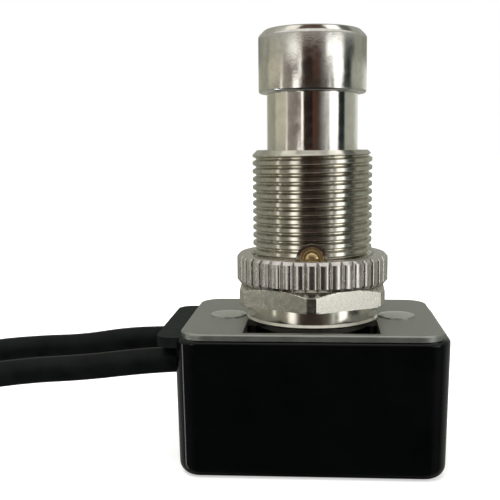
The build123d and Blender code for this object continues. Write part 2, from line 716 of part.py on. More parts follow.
def make_all():
    """Every piece of the switch by its node name."""
    pieces = {
        "case": make_case(),
        "wire_guard": make_guard(),
        "mounting_plate": make_plate(),
        "rivet_left": make_rivet(-1),
        "rivet_right": make_rivet(1),
        "bushing": make_bushing(),
        "guide_pin": make_guide_pin(),
        "stem": make_stem(),
        "button_cap": make_cap(),
        "hex_nut": make_hex_nut(),
        "ring_nut": make_ring_nut(),
        "drive_disc": make_drive_disc(),
        "return_spring": make_return_spring(),
        "bearing_plate": make_bearing_plate(),
        "drive_strip": make_drive_strip(),
        "rotor": make_rotor(),
        "moving_bar": make_moving_bar(),
        "contact_front": make_contact(-1),
        "contact_back": make_contact(1),
        "contact_point_front": make_contact_point(-1),
        "contact_point_back": make_contact_point(1),
    }
    pieces.update(make_leads())
    return pieces


os.makedirs("parts", exist_ok=True)
for node, solid in make_all().items():
    export_step(Pos(0, 0, -CASE_BOTTOM) * solid, f"parts/{node}.step")
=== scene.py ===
import math

import bmesh
import bpy
import numpy as np
from mathutils import Matrix


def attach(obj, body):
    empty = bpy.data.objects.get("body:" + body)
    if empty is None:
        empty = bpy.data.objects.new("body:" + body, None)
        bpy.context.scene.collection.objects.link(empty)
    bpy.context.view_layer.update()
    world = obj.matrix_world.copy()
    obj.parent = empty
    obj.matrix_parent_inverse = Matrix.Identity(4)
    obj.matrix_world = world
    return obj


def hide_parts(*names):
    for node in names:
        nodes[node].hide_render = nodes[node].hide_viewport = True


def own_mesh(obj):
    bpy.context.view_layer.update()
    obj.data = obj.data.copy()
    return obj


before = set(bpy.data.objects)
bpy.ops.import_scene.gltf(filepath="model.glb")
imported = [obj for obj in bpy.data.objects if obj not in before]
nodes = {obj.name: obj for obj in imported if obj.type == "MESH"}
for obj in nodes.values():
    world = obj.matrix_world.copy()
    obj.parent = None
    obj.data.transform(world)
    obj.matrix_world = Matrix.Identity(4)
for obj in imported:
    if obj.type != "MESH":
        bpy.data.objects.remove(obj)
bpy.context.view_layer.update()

# The camera stands close in front of the switch, somewhat above the middle of its height, and
# looks slightly down. Its place and turn were fitted to edges read off the photo, with a small
# sideways shift that leaves the whole switch in the frame when it is seen from elsewhere.
eye = (0.0006142, -0.0813969, 0.0316531)
right_way = (0.99822946, 0.05920215, -0.00574966)
up_way = (-0.00209073, 0.13152784, 0.99131027)
back_way = (0.05944394, -0.98954309, 0.13141874)
camera = bpy.data.objects.new("camera", bpy.data.cameras.new("camera"))
camera.data.sensor_width = 36
camera.data.lens = 58.340
camera.data.shift_x = -0.04
camera.data.clip_start = 0.005
camera.data.clip_end = 10
turn = Matrix((right_way, up_way, back_way)).transposed().to_4x4()
camera.matrix_world = Matrix.Translation(eye) @ turn
bpy.context.scene.collection.objects.link(camera)
bpy.context.scene.camera = camera

# The two leads are stranded hook-up wire in a black vinyl sleeve. They come out of the slots
# under the guard, droop to the table and lie on it. The second and third points of each lie
# up to 0.18 mm off the solid's route, to show the gap under the guard as in the photo.
MM = 0.001
SLEEVE_DIAMETER = 2.54
LEAD_POINTS = {
    "front": [
        (-11.3, -4.4, 10.69), (-13.8, -4.4, 10.58), (-17.4, -4.5, 10.3), (-22.4, -4.8, 9.749),
        (-28.2, -5.2, 9.495), (-35, -5.85, 8.62), (-42.4, -6.3, 6.738), (-50.6, -6.3, 4.197),
        (-59, -5.75, 1.986), (-67.4, -4.95, 1.28), (-76, -3.9, 1.28), (-84.2, -2.65, 1.28),
        (-91.6, -1.25, 1.28), (-97.4, 0.15, 1.28),
    ],
    "back": [
        (-11.3, 4.4, 10.69), (-16.2, 4.45, 10.58), (-20.4, 4.55, 10.36), (-25.2, 4.6, 9.561),
        (-30.2, 4.45, 9.41), (-36, 4.1, 8.902), (-43.4, 3.6, 7.302), (-51.8, 3.4, 4.762),
        (-60.4, 3.7, 2.315), (-69, 4.5, 1.28), (-77.6, 5.75, 1.28), (-85.6, 7, 1.28),
        (-92.4, 7.4, 1.28), (-98, 7.25, 1.28),
    ],
}


def finish_coat(name, tones, roughness, grain, depth, metallic=0.0, ior=1.5):
    """Surface finish from two noise patterns on Object coordinates.

    The coarse one, at a third of the grain, moves the colour between the two tones and the
    roughness between its two values. The fine one is a bump of the given depth in metres.
    """
    noise_low, noise_high = 0.3, 0.7
    material = bpy.data.materials.new(name)
    material.use_nodes = True
    tree = material.node_tree
    shader = tree.nodes["Principled BSDF"]
    shader.inputs["Metallic"].default_value = metallic
    shader.inputs["IOR"].default_value = ior
    place = tree.nodes.new("ShaderNodeTexCoord")
    coarse = tree.nodes.new("ShaderNodeTexNoise")
    coarse.inputs["Scale"].default_value = grain / 3
    coarse.inputs["Detail"].default_value = 4
    tree.links.new(place.outputs["Object"], coarse.inputs["Vector"])
    ramp = tree.nodes.new("ShaderNodeValToRGB")
    for element, position, tone in zip(ramp.color_ramp.elements, (noise_low, noise_high), tones):
        element.position = position
        element.color = (*tone, 1)
    tree.links.new(coarse.outputs["Fac"], ramp.inputs["Fac"])
    tree.links.new(ramp.outputs["Color"], shader.inputs["Base Color"])
    polish = tree.nodes.new("ShaderNodeMapRange")
    polish.inputs["From Min"].default_value = noise_low
    polish.inputs["From Max"].default_value = noise_high
    polish.inputs["To Min"].default_value = roughness[0]
    polish.inputs["To Max"].default_value = roughness[1]
    tree.links.new(coarse.outputs["Fac"], polish.inputs["Value"])
    tree.links.new(polish.outputs["Result"], shader.inputs["Roughness"])
    fine = tree.nodes.new("ShaderNodeTexNoise")
    fine.inputs["Scale"].default_value = grain
    fine.inputs["Detail"].default_value = 3
    tree.links.new(place.outputs["Object"], fine.inputs["Vector"])
    bump = tree.nodes.new("ShaderNodeBump")
    bump.inputs["Strength"].default_value = 1
    bump.inputs["Distance"].default_value = depth
    tree.links.new(fine.outputs["Fac"], bump.inputs["Height"])
    tree.links.new(bump.outputs["Normal"], shader.inputs["Normal"])
    return material


def coat_node(node, material):
    """Gives a carried-over node its finish."""
    mesh = nodes[node].data
    mesh.materials.clear()
    mesh.materials.append(material)


sleeve_vinyl = finish_coat(
    "sleeve_vinyl", [(0.003, 0.0035, 0.0035), (0.006, 0.007, 0.007)], (0.26, 0.36), 1500, 3e-6,
    ior=1.14,
)
leads = {}
for side, points in LEAD_POINTS.items():
    curve = bpy.data.curves.new(f"sleeve_{side}", "CURVE")
    curve.dimensions = "3D"
    curve.resolution_u = 16
    curve.bevel_depth = SLEEVE_DIAMETER * MM / 2
    curve.bevel_resolution = 8
    curve.use_fill_caps = True
    spline = curve.splines.new("NURBS")
    spline.points.add(len(points) - 1)
    route = np.array(points) * MM
    spline.points.foreach_set("co", np.hstack([route, np.ones((len(route), 1))]).ravel())
    spline.order_u = 3
    spline.use_endpoint_u = True
    leads[side] = bpy.data.objects.new(f"sleeve_{side}", curve)
    bpy.context.scene.collection.objects.link(leads[side])
    curve.materials.append(sleeve_vinyl)
    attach(leads[side], "body")
    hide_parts(f"lead_{side}")

# The stripped ends are seven tinned copper strands, twisted one turn in 7 mm, that stick out
# of the sleeves in line with them.
BARE_LENGTH = 12.0
STRAND_START = -0.4
STRAND_STAGGER = 0.25
STRAND_RADIUS = 0.18
OUTER_STRANDS = 6
TWIST_RADIUS = 0.362
TWIST_PITCH = 7.0
STRAND_ROWS = 40
WIRE_SIDES = 12
SHARP_ANGLE = 35


def grid_piece(name, grids, crease=SHARP_ANGLE):
    """One closed mesh from grids of points.

    Each grid is (points, rows_close, columns_close): an array of rows by columns by 3 in
    metres, and whether the last row or column joins the first. Points that fall together at
    a pole or a seam are merged, and edges bent by more than the crease angle stay sharp.
    """
    mesh = bpy.data.meshes.new(name)
    corners = []
    quads = []
    start = 0
    for points, rows_close, columns_close in grids:
        rows, columns = points.shape[:2]
        index = start + np.arange(rows * columns).reshape(rows, columns)
        here = index if rows_close else index[:-1]
        there = np.roll(index, -1, 0) if rows_close else index[1:]
        quad = np.stack([here, there, np.roll(there, -1, 1), np.roll(here, -1, 1)], -1)
        quads.append(quad if columns_close else quad[:, :-1])
        corners.append(points.reshape(-1, 3))
        start += rows * columns
    faces = np.vstack([q.reshape(-1, 4) for q in quads])
    mesh.from_pydata(np.vstack(corners).tolist(), [], faces.tolist())
    shell = bmesh.new()
    shell.from_mesh(mesh)
    bmesh.ops.remove_doubles(shell, verts=shell.verts, dist=1e-7)
    bmesh.ops.dissolve_degenerate(shell, edges=shell.edges, dist=1e-8)
    bmesh.ops.recalc_face_normals(shell, faces=shell.faces)
    shell.to_mesh(mesh)
    shell.free()
    mesh.polygons.foreach_set("use_smooth", np.ones(len(mesh.polygons), bool))
    mesh.set_sharp_from_angle(angle=math.radians(crease))
    piece = bpy.data.objects.new(name, mesh)
    bpy.context.scene.collection.objects.link(piece)
    return piece


def full_turn(count):
    """Angles evenly round a full turn."""
    return np.linspace(0, 2 * math.pi, count, endpoint=False)


def twisted_strand(side, number):
    """Tube grid of one strand of a stripped end.

    Its middle line is a helix about the lead's last direction, at the twist radius for the
    six outer strands and at nought for the core. Rings of the strand's radius stand across
    it, the first and last ring shrink to a point, and the strands end a little apart.
    """
    last = np.array(LEAD_POINTS[side][-1])
    ahead = last - np.array(LEAD_POINTS[side][-2])
    ahead /= np.linalg.norm(ahead)
    sideways = np.cross([0, 0, 1], ahead)
    upward = np.cross(ahead, sideways)
    length = BARE_LENGTH - STRAND_STAGGER * (number % 3)
    way = np.linspace(STRAND_START, length, STRAND_ROWS)
    way = np.concatenate([way[:1], way, way[-1:]])
    swell = np.ones(len(way))
    swell[[0, -1]] = 0
    angle = 2 * math.pi * (way / TWIST_PITCH + number / OUTER_STRANDS)
    off = TWIST_RADIUS if number < OUTER_STRANDS else 0
    ring = full_turn(WIRE_SIDES)[:, None]
    out = off * np.cos(angle) + STRAND_RADIUS * swell * np.cos(ring)
    rise = off * np.sin(angle) + STRAND_RADIUS * swell * np.sin(ring)
    centre = last + ahead * way[:, None]
    return (centre + sideways * out[..., None] + upward * rise[..., None]) * MM


tinned_copper = finish_coat(
    "tinned_copper", [(0.56, 0.53, 0.47), (0.7, 0.68, 0.63)], (0.25, 0.4), 6000, 2e-6, 1.0
)
for side in LEAD_POINTS:
    grids = [(twisted_strand(side, number), True, False) for number in range(OUTER_STRANDS + 1)]
    bare_end = grid_piece(f"stripped_strands_{side}", grids)
    bare_end.data.materials.append(tinned_copper)
    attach(bare_end, "body")
    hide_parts(f"bare_end_{side}")
    coat_node(f"strand_{side}", tinned_copper)

# The case is one glossy black moulding, drafted so that it leaves its mould, with rounded
# corners and a rounded foot. It is riveted to the steel plate that covers it.
gloss_moulding = finish_coat(
    "gloss_moulding", [(0.0008, 0.001, 0.001), (0.0016, 0.0018, 0.0018)], (0.08, 0.13), 900, 1e-6,
    ior=1.33,
)
coat_node("case", gloss_moulding)

# The wire guard is a flat piece of black fibre sheet under the plate. Its lip reaches over
# the leads where they leave the case.
guard_fibre = finish_coat(
    "guard_fibre", [(0.004, 0.0055, 0.0048), (0.008, 0.0105, 0.0092)], (0.5, 0.62), 2500, 8e-6,
    ior=1.16,
)
coat_node("wire_guard", guard_fibre)

# The mounting plate is stamped from sheet steel and zinc plated. It has a seat for the
# bushing between two windows and four legs bent down into the case.
plate_zinc = finish_coat(
    "plate_zinc", [(0.27, 0.28, 0.255), (0.33, 0.34, 0.315)], (0.32, 0.42), 1800, 3e-6, 0.9
)
coat_node("mounting_plate", plate_zinc)

# Two semi-tubular steel rivets with low domed heads hold the plate and the case together,
# and their tails are rolled over in the recesses under the case.
rivet_steel = finish_coat(
    "rivet_steel", [(0.56, 0.57, 0.55), (0.64, 0.65, 0.63)], (0.22, 0.3), 1800, 5e-7, 1.0
)
for side in ("left", "right"):
    coat_node(f"rivet_{side}", rivet_steel)

# The bushing is turned from brass and satin nickel plated: a barrel with a fine right-hand
# thread, a collar with a low lip that stands on the plate, and a tail that is staked under it.
# Its heights, and those of the nuts, stem and cap, count from the plate's top face.
PLATE_TOP = 14.14
THREAD_RADIUS = 5.953
THREAD_PITCH = 0.794
THREAD_DEPTH = 0.34
THREAD_START = 2.2
THREAD_TOP = 16.77
THREAD_LEAD = 0.45
ROOT_FLAT = 0.1
FLANK_WIDTH = 0.5
COSINE_SHARE = 0.25
BORE_RADIUS = 4.543
BORE_BEVEL = 0.25
COLLAR_RADIUS = 6.69
COLLAR_HEIGHT = 1.74
LIP_WIDTH = 0.12
LIP_EDGE = 0.16
LIP_HEIGHT = 0.4
TAIL_RADIUS = 5.12
STAKED_RADIUS = 5.45
STAKED_TOP = -0.64
TAIL_FOOT = -0.96
BARREL_STEPS = 180
ARC_STEPS = 6


def rounded(corners):
    """Closed profile from corners (radius, height, radius of the arc in the corner's place).

    An arc ends its radius over the tangent of half the corner's angle before and after the
    corner, and its points are the turn from one end to the other about its centre.
    """
    corners = np.array(corners, float)
    points = corners[:, :2]
    runs = []
    for before, here, after, radius in zip(
        np.roll(points, 1, 0), points, np.roll(points, -1, 0), corners[:, 2]
    ):
        if radius == 0:
            runs.append(here[None])
            continue
        back = (before - here) / np.linalg.norm(before - here)
        ahead = (after - here) / np.linalg.norm(after - here)
        half = math.acos(np.clip(back @ ahead, -1, 1)) / 2
        middle = here + (back + ahead) / np.linalg.norm(back + ahead) * radius / math.sin(half)
        first = here + back * radius / math.tan(half) - middle
        last = here + ahead * radius / math.tan(half) - middle
        sweep = math.pi - 2 * half
        share = np.linspace(0, 1, ARC_STEPS + 1)[:, None]
        mix = np.sin((1 - share) * sweep) * first + np.sin(share * sweep) * last
        runs.append(middle + mix / math.sin(sweep))
    return np.vstack(runs)


def turned_grid(radius, height, angles):
    """Points r cos a, r sin a, z + PLATE_TOP in metres, for radii and heights over angles."""
    angle = angles[:, None]
    radius = radius + 0 * angle
    height = height + 0 * angle + PLATE_TOP
    return np.stack([radius * np.cos(angle), radius * np.sin(angle), height], -1) * MM


def thread_radius(angle, height):
    """Radius of the threaded barrel.

    The place in a turn is z / pitch - a / (2 pi), without its whole part. Its distance from
    the groove's middle, where it is a half, gives the flank from 0 to 1, held flat at root and
    crest and mixed with a quarter of a cosine. The groove deepens from nothing at the collar
    to its full depth at THREAD_START, and a cone trims the top.
    """
    place = (height / THREAD_PITCH - angle / (2 * math.pi)) % 1
    flank = np.clip((np.abs(place - 0.5) * 2 - ROOT_FLAT) / FLANK_WIDTH, 0, 1)
    wave = (1 + np.cos(math.pi * flank)) / 2
    groove = THREAD_DEPTH * ((1 - COSINE_SHARE) * (1 - flank) + COSINE_SHARE * wave)
    groove = groove * np.clip((height - COLLAR_HEIGHT) / (THREAD_START - COLLAR_HEIGHT), 0, 1)
    cone = THREAD_RADIUS - THREAD_LEAD + (THREAD_TOP - height)
    return np.minimum(THREAD_RADIUS - groove, cone)


satin_nickel = finish_coat(
    "satin_nickel", [(0.5, 0.48, 0.42), (0.62, 0.6, 0.53)], (0.12, 0.18), 4000, 8e-7, 1.0
)
# The rows of the barrel climb with the thread, one pitch in a turn, so that its ridges are
# clean lines. They have these places in each pitch, closer together where the flanks bend.
places = np.array([0, 0.1, 0.2, 0.24, 0.3, 0.38, 0.45, 0.5, 0.55, 0.62, 0.7, 0.76, 0.8, 0.9])
turns = np.arange(math.floor(COLLAR_HEIGHT / THREAD_PITCH) - 1, THREAD_TOP / THREAD_PITCH + 1)
along = (turns[:, None] + places).ravel() * THREAD_PITCH
wound = np.linspace(0, 2 * math.pi, BARREL_STEPS + 1)
climbing = along + THREAD_PITCH * wound[:, None] / (2 * math.pi)
climbing = np.clip(climbing, COLLAR_HEIGHT, THREAD_TOP)
barrel = turned_grid(thread_radius(wound[:, None], climbing), climbing, wound)
rest = rounded([
    (THREAD_RADIUS - THREAD_LEAD, THREAD_TOP, 0),
    (BORE_RADIUS + BORE_BEVEL, THREAD_TOP, 0.05),
    (BORE_RADIUS, THREAD_TOP - BORE_BEVEL, 0.05),
    (BORE_RADIUS, TAIL_FOOT, 0.08),
    (STAKED_RADIUS, TAIL_FOOT, 0.12),
    (STAKED_RADIUS, STAKED_TOP, 0.03),
    (TAIL_RADIUS, STAKED_TOP, 0),
    (TAIL_RADIUS, 0, 0),
    (COLLAR_RADIUS, 0, 0.06),
    (COLLAR_RADIUS, LIP_EDGE, 0.06),
    (COLLAR_RADIUS - LIP_WIDTH, LIP_HEIGHT, 0.06),
    (COLLAR_RADIUS - LIP_WIDTH, COLLAR_HEIGHT, 0.12),
    (THREAD_RADIUS, COLLAR_HEIGHT, 0),
])
rest_grid = turned_grid(rest[:, 0], rest[:, 1], full_turn(BARREL_STEPS))
bushing_shell = grid_piece("bushing_barrel", [(barrel, False, False), (rest_grid, True, False)])
bushing_shell.data.materials.append(satin_nickel)
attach(bushing_shell, "body")
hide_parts("bushing")

# The guide pin is brass, pressed into the side of the bushing from a round counterbore. It
# has a raised rim round a domed middle, and its foot keeps the stem from turning. Places
# along it count from the bushing's axis.
PIN_HEIGHT = 6.5
PIN_RADIUS = 1.2
PIN_FOOT = 4.02
PIN_TIP = 5.32
CUP_RADIUS = 0.94
CUP_FLOOR = 5.02
DOME_RADIUS = 0.74
DOME_FOOT = 5.0
DOME_RISE = 0.3
HOLE_RADIUS = 1.22
COUNTERBORE_RADIUS = 1.5
COUNTERBORE_FLOOR = 4.95
DRILL_FROM = 4.0
DRILL_TO = 6.6
DRILL_STEPS = 96
PIN_STEPS = 64
DOME_ROWS = 14
pin_brass = finish_coat(
    "pin_brass", [(0.55, 0.4, 0.2), (0.7, 0.54, 0.3)], (0.18, 0.3), 4000, 2e-6, 1.0
)


def pin_grid(profile, angles):
    """A turned grid laid on its side, so that its height is the distance from the axis."""
    points = turned_grid(profile[:, 0], profile[:, 1] - PLATE_TOP, angles)
    x, y, z = np.moveaxis(points, -1, 0)
    return np.stack([x, -z, y + (PIN_HEIGHT + PLATE_TOP) * MM], -1)


def cut(piece, cutter):
    """Takes the cutter's solid out of the piece's mesh and deletes the cutter."""
    tool = piece.modifiers.new("cut", "BOOLEAN")
    tool.operation = "DIFFERENCE"
    tool.solver = "EXACT"
    tool.object = cutter
    seen = bpy.context.evaluated_depsgraph_get()
    mesh = bpy.data.meshes.new_from_object(piece.evaluated_get(seen))
    piece.modifiers.clear()
    old = piece.data
    piece.data = mesh
    mesh.name = piece.name
    bpy.data.meshes.remove(old)
    bpy.data.objects.remove(cutter)


drill = np.array([
    (0, DRILL_FROM), (HOLE_RADIUS, DRILL_FROM), (HOLE_RADIUS, COUNTERBORE_FLOOR),
    (COUNTERBORE_RADIUS, COUNTERBORE_FLOOR), (COUNTERBORE_RADIUS, DRILL_TO), (0, DRILL_TO),
])
drill_grid = pin_grid(drill, full_turn(DRILL_STEPS))
cut(bushing_shell, grid_piece("pin_drill", [(drill_grid, True, False)]))
bushing_shell.data.set_sharp_from_angle(angle=math.radians(SHARP_ANGLE))
head = rounded([
    (0, PIN_FOOT, 0),
    (PIN_RADIUS, PIN_FOOT, 0.06),
    (PIN_RADIUS, PIN_TIP, 0.1),
    (CUP_RADIUS, PIN_TIP, 0.08),
    (CUP_RADIUS, CUP_FLOOR, 0.05),
    (DOME_RADIUS, DOME_FOOT, 0),
])
swing = np.linspace(1, 0, DOME_ROWS) * math.pi / 2
dome = np.stack([DOME_RADIUS * np.sin(swing), DOME_FOOT + DOME_RISE * np.cos(swing)], 1)
pin_shape = pin_grid(np.vstack([head, dome[1:]]), full_turn(PIN_STEPS))
guide_pin = grid_piece("guide_pin_head", [(pin_shape, True, False)])
guide_pin.data.materials.append(pin_brass)
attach(guide_pin, "body")
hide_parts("guide_pin")

# The thin hexagon nut is stamped and frosted nickel plated. Its corners are rounded off, and
# a chamfer cuts a low arch into the top of each flat: each radius is the smallest one of the
# hexagon, the chamfer's cone and the small bevel at the foot.
HEX_APOTHEM = 7.07
HEX_CORNER = 7.918
HEX_BOTTOM = 1.74
HEX_TOP = 3.6
HEX_CHAMFER = 0.42
HEX_CHAMFER_MARGIN = 0.1
HEX_FOOT_BEVEL = 0.08
NUT_BORE = 6.003
NUT_BEVEL = 0.3
HEX_BORE_FOOT_BEVEL = 0.15
HEX_CREASE = 20
FLAT_STEPS = 24
CORNER_STEPS = 8
HEX_ROWS = 28
frosted_nickel = finish_coat(
    "frosted_nickel", [(0.47, 0.46, 0.4), (0.66, 0.65, 0.59)], (0.2, 0.3), 6000, 4e-6, 1.0
)
edge = math.acos(HEX_APOTHEM / HEX_CORNER)
flat = np.concatenate([
    np.linspace(-edge, edge, FLAT_STEPS, endpoint=False),
    np.linspace(edge, math.pi / 3 - edge, CORNER_STEPS, endpoint=False),
])
hex_angles = (flat + np.arange(6)[:, None] * math.pi / 3).ravel()
from_flat = (hex_angles + math.pi / 6) % (math.pi / 3) - math.pi / 6
hex_reach = np.minimum(HEX_APOTHEM / np.cos(from_flat), HEX_CORNER)[:, None]
rise = np.linspace(HEX_BOTTOM, HEX_TOP, HEX_ROWS)
slope = (HEX_CORNER - HEX_APOTHEM - HEX_CHAMFER_MARGIN) / HEX_CHAMFER
cone = HEX_APOTHEM + HEX_CHAMFER_MARGIN + (HEX_TOP - rise) * slope
foot = HEX_CORNER - HEX_FOOT_BEVEL + (rise - HEX_BOTTOM)
inner = np.array([
    (NUT_BORE + NUT_BEVEL, HEX_TOP),
    (NUT_BORE, HEX_TOP - NUT_BEVEL),
    (NUT_BORE, HEX_BOTTOM + HEX_BORE_FOOT_BEVEL),
    (NUT_BORE + HEX_BORE_FOOT_BEVEL, HEX_BOTTOM),
])
wall = np.minimum(hex_reach, np.minimum(cone, foot))
hex_radii = np.hstack([wall, inner[:, 0] + 0 * hex_reach])
hex_heights = np.concatenate([rise, inner[:, 1]])
hex_grid = turned_grid(hex_radii, hex_heights, hex_angles)
hex_nut = grid_piece("hexagon_nut", [(hex_grid, True, True)], HEX_CREASE)
hex_nut.data.materials.append(frosted_nickel)
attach(hex_nut, "hex_nut")
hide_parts("hex_nut")

# The ring nut is die cast with forty rounded lobes for the fingers and bright nickel plated.
# Narrow grooves part the lobes, and both faces are chamfered. Each radius is the smaller one
# of the lobed rim and of a turned profile that stands just outside the rim.
RING_RADIUS = 7.6
RING_BOTTOM = 3.615
RING_TOP = 6.535
RING_LIMIT = RING_RADIUS + 0.1
RING_BEVEL = 0.42
LOBES = 40
LOBE_STEPS = 22
LOBE_RADIUS = 1.15
GROOVE_DEPTH = 0.2
GROOVE_WIDTH = 0.11
ring_nickel = finish_coat(
    "ring_nickel", [(0.54, 0.51, 0.48), (0.68, 0.65, 0.62)], (0.2, 0.3), 2600, 3e-6, 1.0
)
ring_angles = full_turn(LOBES * LOBE_STEPS)
off_lobe = (ring_angles + math.pi / LOBES) % (2 * math.pi / LOBES) - math.pi / LOBES
lobe_circle = RING_RADIUS - LOBE_RADIUS
lobed = np.sqrt(LOBE_RADIUS**2 - (lobe_circle * np.sin(off_lobe)) ** 2)
lobed = lobe_circle * np.cos(off_lobe) + lobed
off_groove = RING_RADIUS * (math.pi / LOBES - np.abs(off_lobe))
lobed = lobed - GROOVE_DEPTH * np.exp(-(off_groove / GROOVE_WIDTH) ** 2)
limit = rounded([
    (NUT_BORE, RING_BOTTOM + NUT_BEVEL, 0.05),
    (NUT_BORE + NUT_BEVEL, RING_BOTTOM, 0.08),
    (RING_LIMIT - RING_BEVEL, RING_BOTTOM, 0.25),
    (RING_LIMIT, RING_BOTTOM + RING_BEVEL, 0.25),
    (RING_LIMIT, RING_TOP - RING_BEVEL, 0.25),
    (RING_LIMIT - RING_BEVEL, RING_TOP, 0.25),
    (NUT_BORE + NUT_BEVEL, RING_TOP, 0.08),
    (NUT_BORE, RING_TOP - NUT_BEVEL, 0.05),
])
ring_radii = np.minimum(limit[:, 0], lobed[:, None])
ring_grid = turned_grid(ring_radii, limit[:, 1], ring_angles)
ring_nut = grid_piece("knurled_ring_nut", [(ring_grid, True, True)])
ring_nut.data.materials.append(ring_nickel)
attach(ring_nut, "ring_nut")
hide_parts("ring_nut")

# The stem is a turned rod, polished and bright nickel plated, that slides in the bushing. It
# shows the studio's bands as sharp upright stripes.
bright_nickel = finish_coat(
    "bright_nickel", [(0.62, 0.6, 0.56), (0.74, 0.72, 0.68)], (0.07, 0.13), 3000, 2e-6, 1.0
)
coat_node("stem", bright_nickel)

# The button cap is drawn and polished, a shade softer than the stem that it is pressed on. Its
# inside rests on the stem's top, and its top edge has a chamfer with rounded ends.
STEM_TOP = 27.17
CAP_RADIUS = 5.306
CAP_BOTTOM = 22.26
CAP_TOP = 28.37
CAP_BORE = 4.503
CAP_BEVEL = 0.65
CAP_STEPS = 192
cap_nickel = finish_coat(
    "cap_nickel", [(0.6, 0.58, 0.54), (0.72, 0.7, 0.66)], (0.11, 0.16), 5200, 4e-6, 1.0
)
cap_profile = rounded([
    (0, STEM_TOP, 0),
    (CAP_BORE, STEM_TOP, 0),
    (CAP_BORE, CAP_BOTTOM, 0.1),
    (CAP_RADIUS, CAP_BOTTOM, 0.3),
    (CAP_RADIUS, CAP_TOP - CAP_BEVEL, 0.5),
    (CAP_RADIUS - CAP_BEVEL, CAP_TOP, 0.5),
    (0, CAP_TOP, 0),
])
cap_grid = turned_grid(cap_profile[:, 0], cap_profile[:, 1], full_turn(CAP_STEPS))
button_cap = grid_piece("button_cap_shell", [(cap_grid, True, False)])
button_cap.data.materials.append(cap_nickel)
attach(button_cap, "button")
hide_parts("button_cap")

# The works inside the case: fibre bearing plate and rotor, brass contacts and bar, silver
# contact points, and the twisted steel strip with the disc that turns it.
works_fibre = finish_coat(
    "works_fibre", [(0.1, 0.055, 0.03), (0.16, 0.09, 0.05)], (0.5, 0.7), 1500, 1e-5
)
works_brass = finish_coat(
    "works_brass", [(0.5, 0.36, 0.17), (0.62, 0.47, 0.24)], (0.25, 0.4), 1500, 3e-6, 1.0
)
works_steel = finish_coat(
    "works_steel", [(0.38, 0.38, 0.37), (0.48, 0.48, 0.47)], (0.25, 0.4), 1500, 3e-6, 1.0
)
point_silver = finish_coat(
    "point_silver", [(0.7, 0.7, 0.67), (0.8, 0.8, 0.78)], (0.2, 0.35), 3000, 3e-6, 1.0
)
for material, inside in (
    (works_fibre, ("bearing_plate", "rotor")),
    (works_brass, ("contact_front", "contact_back", "moving_bar")),
    (works_steel, ("drive_disc", "drive_strip")),
    (point_silver, ("contact_point_front", "contact_point_back")),
):
    for node in inside:
        coat_node(node, material)

# The return spring is hard steel wire, coiled with closed ends, between the bearing plate
# and the disc in the stem.
SPRING_RADIUS = 3.3
WIRE_RADIUS = 0.225
SPRING_BOTTOM = -4.3
SPRING_TOP = 2.35
SPRING_TURNS = 5
CLOSED_TURNS = 0.75
EVEN_SHARE = 0.1
SPRING_ROWS = 360


def spring_grid():
    """Tube about a helix that lies nearly flat at both ends.

    The angle runs evenly. Nine tenths of the height are climbed between the closed turns at
    the two ends, and one tenth evenly over the whole length, so that the wire never meets
    itself. The wire's end rings shrink to a point.
    """
    place = np.linspace(0, 1, SPRING_ROWS)
    place = np.concatenate([place[:1], place, place[-1:]])
    swell = np.ones(len(place))
    swell[[0, -1]] = 0
    turns = place * (SPRING_TURNS + 2 * CLOSED_TURNS)
    climb = np.clip((turns - CLOSED_TURNS) / SPRING_TURNS, 0, 1)
    rise = SPRING_TOP - SPRING_BOTTOM
    height = SPRING_BOTTOM + rise * ((1 - EVEN_SHARE) * climb + EVEN_SHARE * place)
    angle = 2 * math.pi * turns
    ring = full_turn(WIRE_SIDES)[:, None]
    radius = SPRING_RADIUS + WIRE_RADIUS * swell * np.cos(ring)
    height = height + WIRE_RADIUS * swell * np.sin(ring) + PLATE_TOP
    return np.stack([radius * np.cos(angle), radius * np.sin(angle), height], -1) * MM


return_spring = grid_piece("return_coil", [(spring_grid(), True, False)])
return_spring.data.materials.append(works_steel)
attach(return_spring, "body")
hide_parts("return_spring")
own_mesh(return_spring)

# The table is a wide pale sheet that glows a little for the camera, so that only the soft
# shadow shows on the white. Glossy rays go through it, so that the polished metal shows the
# studio's lower bands, as in the photo, and not a white floor.
TABLE_HALF = 1.5
TABLE_GLOW = 0.45
floor = bpy.data.objects.new("table", bpy.data.meshes.new("table"))
sheet = [(TABLE_HALF * x, TABLE_HALF * y, 0) for x, y in ((-1, -1), (1, -1), (1, 1), (-1, 1))]
floor.data.from_pydata(sheet, [], [(0, 1, 2, 3)])
bpy.context.scene.collection.objects.link(floor)
paper = bpy.data.materials.new("pale_paper")
paper.use_nodes = True
tree = paper.node_tree
tree.nodes.clear()
output = tree.nodes.new("ShaderNodeOutputMaterial")
diffuse = tree.nodes.new("ShaderNodeBsdfDiffuse")
diffuse.inputs["Color"].default_value = (0.8, 0.8, 0.8, 1)
glow = tree.nodes.new("ShaderNodeEmission")
rays = tree.nodes.new("ShaderNodeLightPath")
lift = tree.nodes.new("ShaderNodeMath")
lift.operation = "MULTIPLY"
lift.inputs[1].default_value = TABLE_GLOW
tree.links.new(rays.outputs["Is Camera Ray"], lift.inputs[0])
tree.links.new(lift.outputs[0], glow.inputs["Strength"])
both = tree.nodes.new("ShaderNodeAddShader")
tree.links.new(diffuse.outputs[0], both.inputs[0])
tree.links.new(glow.outputs[0], both.inputs[1])
unseen = tree.nodes.new("ShaderNodeBsdfTransparent")
pick = tree.nodes.new("ShaderNodeMixShader")
tree.links.new(rays.outputs["Is Glossy Ray"], pick.inputs["Fac"])
tree.links.new(both.outputs[0], pick.inputs[1])
tree.links.new(unseen.outputs[0], pick.inputs[2])
tree.links.new(pick.outputs[0], output.inputs["Surface"])
floor.data.materials.append(paper)

